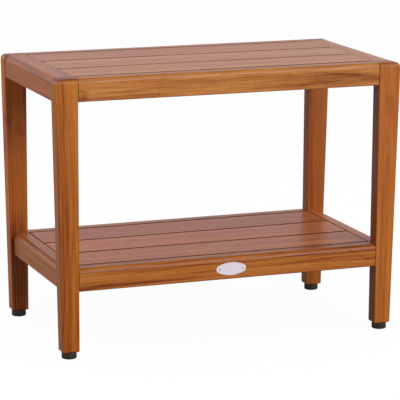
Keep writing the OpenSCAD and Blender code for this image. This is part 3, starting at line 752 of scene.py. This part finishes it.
wood_screw_tree = make_wood_screw_tree()
for node in ("seat_slat_screws", "shelf_slat_screws", "cleat_screws"):
    boxes = separate_boxes(node)
    sideways = node == "cleat_screws"
    if sideways:
        heads = [(low.x if low.x > 0 else high.x, (low.y + high.y) / 2, (low.z + high.z) / 2)
                 for low, high in boxes]
        aims = [(math.copysign(1, head[0]), 0, 0) for head in heads]
    else:
        heads = [((low.x + high.x) / 2, (low.y + high.y) / 2, low.z) for low, high in boxes]
        aims = [(0, 0, 1)] * len(heads)
    size = boxes[0][1] - boxes[0][0]
    screws = grow(node + "_threaded", wood_screw_tree, {
        "Head radius": size.y / 2, "Length": size.x if sideways else size.z, "Material": steel},
        points_mesh(node + "_heads", heads, aims))
    stand_for(screws, node, steel)

boxes = separate_boxes("foot_inserts")
lower_ends = [((low.x + high.x) / 2, (low.y + high.y) / 2, low.z) for low, high in boxes]
size = boxes[0][1] - boxes[0][0]
inserts = grow("foot_inserts_threaded", make_insert_tree(), {
    "Outer radius": size.x / 2, "Length": size.z, "Material": brass},
    points_mesh("insert_places", lower_ends, [(0, 0, 1)] * len(boxes)))
stand_for(inserts, "foot_inserts", brass)

stud_tree = make_stud_tree()
soles = []
for corner in ("front_left", "front_right", "back_left", "back_right"):
    low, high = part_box(f"{corner}_foot_stud")
    stud = grow(f"{corner}_stud_threaded", stud_tree, {
        "Length": high.z - low.z, "Material": steel,
        "Place": ((low.x + high.x) / 2, (low.y + high.y) / 2, low.z)})
    stand_for(stud, f"{corner}_foot_stud", steel)
    soles.append(dressed_copy(f"{corner}_foot_sole", FOOT_ARRIS))
    stand_for(soles[-1], f"{corner}_foot_sole", rubber)
    stand_for(dressed_copy(f"{corner}_foot_cap", FOOT_ARRIS), f"{corner}_foot_cap", nylon)

stand_for(dressed_copy("badge_plate", PLATE_ARRIS), "badge_plate", plate)
stand_for(dressed_copy("badge_pins", PIN_ARRIS), "badge_pins", steel)


# ---- Studio ----

def make_world():
    """A pale studio: white to the camera, and in reflections white behind the bench and dimmer elsewhere."""
    world = bpy.data.worlds.new("studio")
    bpy.context.scene.world = world
    world.use_nodes = True
    world.node_tree.nodes.clear()
    add = partial(add_node, world.node_tree)
    path = add("LightPath").outputs
    direction = add("SeparateXYZ", add("TexCoord").outputs["Generated"]).outputs
    seen = add("Math MAXIMUM", path["Is Camera Ray"], path["Is Transmission Ray"])
    behind = add("Math MULTIPLY", add("MapRange", direction[1], 0.1, 0.8),
                 add("MapRange", direction[2], 0.5, 0.15))
    strength = add("Math ADD", add("Math MULTIPLY", behind, 0.82), 0.3)
    reflected = add("Background", linear("#F4F2FF"), strength)
    soft = add("Background", linear("#F2F4FF"), 0.55)
    light = add("MixShader", path["Is Glossy Ray"], soft, reflected)
    white = add("Background", linear("#FFFFFF"), 1.0)
    add("OutputWorld", add("MixShader", seen, light, white))


def make_floor(soles):
    """A plain pale floor that shows white and keeps a faint shadow."""
    mesh = bpy.data.meshes.new("floor")
    bm = bmesh.new()
    bmesh.ops.create_grid(bm, x_segments=1, y_segments=1, size=14)
    bm.to_mesh(mesh)
    bm.free()
    floor = new_object("floor", mesh)
    material, add = new_material("paint_matt_white")
    path = add("LightPath").outputs
    seen = add("Math MAXIMUM", path["Is Camera Ray"], path["Is Transmission Ray"])
    share = add("Math ADD", add("Math MULTIPLY", seen, 0.75),
                add("Math MULTIPLY", path["Is Glossy Ray"], 0.1))
    lit = add("BsdfDiffuse", linear("#A2A2A4"))
    own = add("Emission", linear("#FFFFFF"), 1.25)
    add("OutputMaterial", add("MixShader", share, lit, own))
    floor.data.materials.append(material)

    # The floor lies under the lowest foot, so that a foot that is screwed down stays in sight
    for sole in soles:
        under = floor.constraints.new("FLOOR")
        under.target = sole
        under.floor_location = "FLOOR_NEGATIVE_Z"


def softbox(name, place, aim, size, watts):
    """A rectangular lamp that faces a point."""
    data = bpy.data.lights.new(name, "AREA")
    data.shape = "RECTANGLE"
    data.size, data.size_y = size
    data.energy = watts
    lamp = new_object(name, data)
    lamp.location = place
    lamp.rotation_euler = (Vector(place) - Vector(aim)).to_track_quat("Z", "Y").to_euler()


make_world()
make_floor(soles)
BENCH_MIDDLE = (0, 0, 0.3)
softbox("key", (2.4, -4.15, 1.95), BENCH_MIDDLE, (3.0, 1.6), 135)
softbox("left", (-2.6, -0.6, 1.3), BENCH_MIDDLE, (1.6, 1.6), 16)
bpy.context.scene.view_settings.view_transform = "Standard"

bpy.context.view_layer.update()
